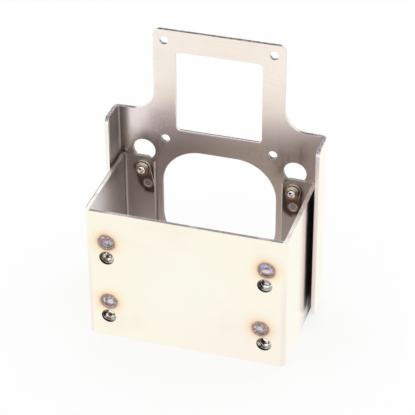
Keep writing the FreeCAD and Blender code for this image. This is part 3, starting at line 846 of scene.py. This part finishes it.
def take_up(piece):
    """Make a piece the one selected and active object."""
    deselect()
    piece.select_set(True)
    bpy.context.view_layer.objects.active = piece


def edit(piece):
    """Take up a piece and select its whole mesh in edit mode."""
    take_up(piece)
    bpy.ops.object.mode_set(mode="EDIT")
    bpy.ops.mesh.select_all(action="SELECT")


def leave():
    bpy.ops.object.mode_set(mode="OBJECT")


def set_place():
    """Move an object's place and turn into its mesh."""
    bpy.ops.object.transform_apply(location=True, rotation=True, scale=True)


def apply(piece, kind, **settings):
    """Add a modifier and apply it."""
    take_up(piece)
    modifier = piece.modifiers.new(kind.lower(), kind)
    for key, setting in settings.items():
        setattr(modifier, key, setting)
    bpy.ops.object.modifier_apply(modifier=modifier.name)


def copied(mesh, name):
    """New piece with its own copy of a mesh."""
    piece = bpy.data.objects.new(name, mesh.copy())
    bpy.context.scene.collection.objects.link(piece)
    return piece


def dress(piece, material):
    """Give a piece its material and the body it rides on."""
    piece.data.materials.append(material)
    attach(piece, "root")


def soft_copy(node_name, name, width, material):
    """Copy of a solid with its sharp edges broken, which takes the solid's place."""
    piece = copied(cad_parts[node_name].data, name)
    edit(piece)
    bpy.ops.mesh.customdata_custom_splitnormals_clear()
    bpy.ops.mesh.remove_doubles(threshold=0.001 * MM)
    bpy.ops.mesh.dissolve_limited(angle_limit=math.radians(0.2))
    leave()
    apply(piece, "BEVEL", width=width, segments=2, limit_method="ANGLE",
          angle_limit=math.radians(40), use_clamp_overlap=True, miter_outer="MITER_ARC")
    bpy.ops.object.shade_smooth_by_angle(angle=math.radians(35))
    apply(piece, "WEIGHTED_NORMAL", keep_sharp=True)
    piece.data.materials.clear()
    dress(piece, material)
    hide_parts(node_name)
    return piece


# height of the pressed steel above the bottom of an electrode mark, by radius, in millimetres
WELD_RINGS = [(3.5, 0.0), (3.2, 0.0), (2.95, 0.08), (2.7, 0.12), (2.4, 0.08), (2.1, 0.0), (1.7, -0.05),
              (1.3, -0.03), (0.9, 0.02), (0.5, 0.05), (0.2, 0.05)]
WELD_PITTING = 1.1 * MM
WELD_PITTING_DEPTH = 0.32 * MM

# hollow end of a joint screw, step by step: width of the rim left, and move of the rest, in millimetres
HOLLOW_STEPS = [(0.45, (0.0, 0.25, 0.0)), (0.5, (0.12, 0.35, 0.1)), (0.4, (0.0, 0.0, 0.0))]

# how far the sharp edges are broken
SHEET_BREAK = 0.25 * MM
HARDWARE_BREAK = 0.12 * MM


def weld_face(key, material):
    """Dimpled face that the electrode left inside a mark on the front panel."""
    across, up = PANEL_WELDS[key]
    bottom = PANEL_FACE + ELECTRODE_DEPTH
    deselect()
    bpy.ops.mesh.primitive_circle_add(vertices=64, radius=WELD_RINGS[0][0] * MM, fill_type="NOTHING",
                                      location=(across, bottom, up), rotation=(math.radians(90), 0, 0))
    piece = bpy.context.object
    piece.name = "weld_face_%s_%s" % key
    set_place()
    edit(piece)
    for (outer, low), (inner, high) in zip(WELD_RINGS, WELD_RINGS[1:]):
        share = inner / outer
        bpy.ops.mesh.extrude_edges_move()
        bpy.ops.transform.resize(value=(share, 1, share), center_override=(across, bottom, up))
        bpy.ops.transform.translate(value=(0, (low - high) * MM, 0))
    bpy.ops.mesh.edge_face_add()
    bpy.ops.mesh.select_all(action="SELECT")
    bpy.ops.mesh.normals_make_consistent(inside=False)
    leave()
    apply(piece, "SUBSURF", levels=1, render_levels=1)
    pitting = bpy.data.textures.new("electrode_pitting", "CLOUDS")
    pitting.noise_scale = WELD_PITTING
    apply(piece, "DISPLACE", texture=pitting, texture_coords="GLOBAL", direction="Y",
          strength=WELD_PITTING_DEPTH, mid_level=0.45)
    bpy.ops.object.shade_smooth()
    dress(piece, material)


def thread_ridge():
    """Helical ridge of one thread about the Y axis, from the origin towards +Y."""
    deselect()
    bpy.ops.mesh.primitive_circle_add(vertices=3, radius=0.52 * THREAD_PITCH, fill_type="NOTHING",
                                      location=(0, 0, 0), rotation=(0, 0, math.radians(90)))
    piece = bpy.context.object
    set_place()
    edit(piece)
    bpy.ops.transform.translate(value=(THREAD_RADIUS, 0, 0))
    leave()
    apply(piece, "SCREW", axis="Y", angle=2 * math.pi, screw_offset=THREAD_PITCH,
          iterations=THREAD_TURNS, steps=32, render_steps=32)
    edit(piece)
    bpy.ops.mesh.remove_doubles(threshold=0.0001 * MM)
    bpy.ops.mesh.fill_holes(sides=0)
    bpy.ops.mesh.normals_make_consistent(inside=False)
    leave()
    bpy.ops.object.shade_smooth_by_angle(angle=math.radians(35))
    return piece


def panel_nut(key, ridge, material):
    """Weld nut of the front panel, with its thread copied from the one ridge."""
    name = "panel_nut_%s_%s" % key
    soft_copy(name, "tapped_" + name, HARDWARE_BREAK, material)
    across, up = PANEL_HOLES[key]
    thread = copied(ridge.data, "thread_of_" + name)
    take_up(thread)
    thread.location = (across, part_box(name)[0].y + THREAD_START, up)
    set_place()
    dress(thread, material)


def joint_nut(key, material):
    """Weld nut on a return of the box."""
    name = "joint_nut_%s_%s" % key
    soft_copy(name, "welded_" + name, HARDWARE_BREAK, material)


def joint_screw(key, material):
    """Button head screw with the hollow end that thread rolling leaves."""
    name = "joint_screw_%s_%s" % key
    piece = soft_copy(name, "threaded_" + name, HARDWARE_BREAK, material)
    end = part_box(name)[0].y
    take_up(piece)
    bpy.ops.object.mode_set(mode="EDIT")
    bpy.ops.mesh.select_mode(type="FACE")
    bpy.ops.mesh.select_all(action="DESELECT")
    leave()
    for face in piece.data.polygons:
        face.select = face.normal.y < -0.99 and face.center.y < end + 0.05 * MM
    bpy.ops.object.mode_set(mode="EDIT")
    for rim, move in HOLLOW_STEPS:
        bpy.ops.mesh.inset(thickness=rim * MM)
        bpy.ops.transform.translate(value=[part * MM for part in move])
    leave()
    bpy.ops.object.shade_smooth_by_angle(angle=math.radians(50))


# the two sheets
box_finish = box_steel()
soft_copy("box", "box_sheet", SHEET_BREAK, box_finish)
soft_copy("back_plate", "plate_sheet", SHEET_BREAK, plate_steel())

# the hardware of each side: nuts and marks of the front panel, then nuts and screws of the joint
panel_nut_finish = nut_steel("panel_nut_steel", PANEL_HOLES, PANEL_WELDS,
                             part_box("panel_nut_upper_left")[1].y, -1, BORE_HIGHLIGHTS_AND_SHADE)
joint_nut_finish = nut_steel("joint_nut_steel", JOINT_AXES, JOINT_TABS,
                             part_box("joint_nut_upper_left")[0].y, 1, {})
screw_finish = screw_steel()
ridge = thread_ridge()
for side in SIDES:
    for row in PANEL_ROWS:
        weld_face((row, side), box_finish)
        panel_nut((row, side), ridge, panel_nut_finish)
    for row in JOINT_ROWS:
        joint_nut((row, side), joint_nut_finish)
        joint_screw((row, side), screw_finish)
bpy.data.objects.remove(ridge)


# the floor and the light round the object
FLOOR_SIZE = 8.0
FLOOR_TOP = -0.2 * MM
FLOOR_SEEN = 0.78
FLOOR_MIRRORED = 0.97
SKY_STRENGTH = 1.03


def white_floor():
    """Floor that keeps the object's shadow, and looks white in the view and in reflections."""
    deselect()
    bpy.ops.mesh.primitive_plane_add(size=FLOOR_SIZE, location=(0, 0, FLOOR_TOP))
    floor = bpy.context.object
    floor.name = "floor"
    finish = Finish("floor_white")
    finish.wear(Base_Color=FLOOR_WHITE, Roughness=0.95)
    seen = finish.read("LightPath", "Is Camera Ray") * FLOOR_SEEN
    mirrored = finish.read("LightPath", "Is Glossy Ray").larger(
        finish.read("LightPath", "Is Transmission Ray")) * FLOOR_MIRRORED
    glow = finish.node("Emission", {}, {"Color": (1, 1, 1), "Strength": 1.0})
    plain = Wire(finish, finish.shader.outputs[0])
    mixed = finish.node("MixShader", {}, {0: seen.larger(mirrored), 1: plain, 2: glow})
    finish.feed(finish.tree.nodes["Material Output"].inputs["Surface"], mixed)
    floor.data.materials.append(finish.material)


def soft_light():
    """Even white light from all round."""
    world = bpy.data.worlds.new("studio")
    bpy.context.scene.world = world
    world.use_nodes = True
    background = world.node_tree.nodes["Background"]
    background.inputs["Color"].default_value = (1, 1, 1, 1)
    background.inputs["Strength"].default_value = SKY_STRENGTH


# camera at the photograph's place, in metres, with its roll in degrees
CAMERA_PLACE = (0.26928, -0.852265, 0.66759)
CAMERA_TARGET = (-0.000936, 0.011375, 0.070228)
CAMERA_ROLL = -0.343
FOCAL_PIXELS = 1822.17
SENSOR_WIDTH = 36.0


def photo_camera():
    data = bpy.data.cameras.new("camera")
    data.sensor_width = SENSOR_WIDTH
    data.lens = FOCAL_PIXELS / PHOTO_WIDTH * SENSOR_WIDTH
    data.clip_start = 0.05
    camera = bpy.data.objects.new("camera", data)
    bpy.context.scene.collection.objects.link(camera)
    view = Vector(CAMERA_TARGET) - Vector(CAMERA_PLACE)
    aim = view.to_track_quat("-Z", "Y").to_matrix().to_4x4()
    roll = Matrix.Rotation(math.radians(CAMERA_ROLL), 4, "Z")
    camera.matrix_world = Matrix.Translation(CAMERA_PLACE) @ aim @ roll
    bpy.context.scene.camera = camera


white_floor()
soft_light()
photo_camera()
bpy.context.scene.view_settings.view_transform = "Standard"
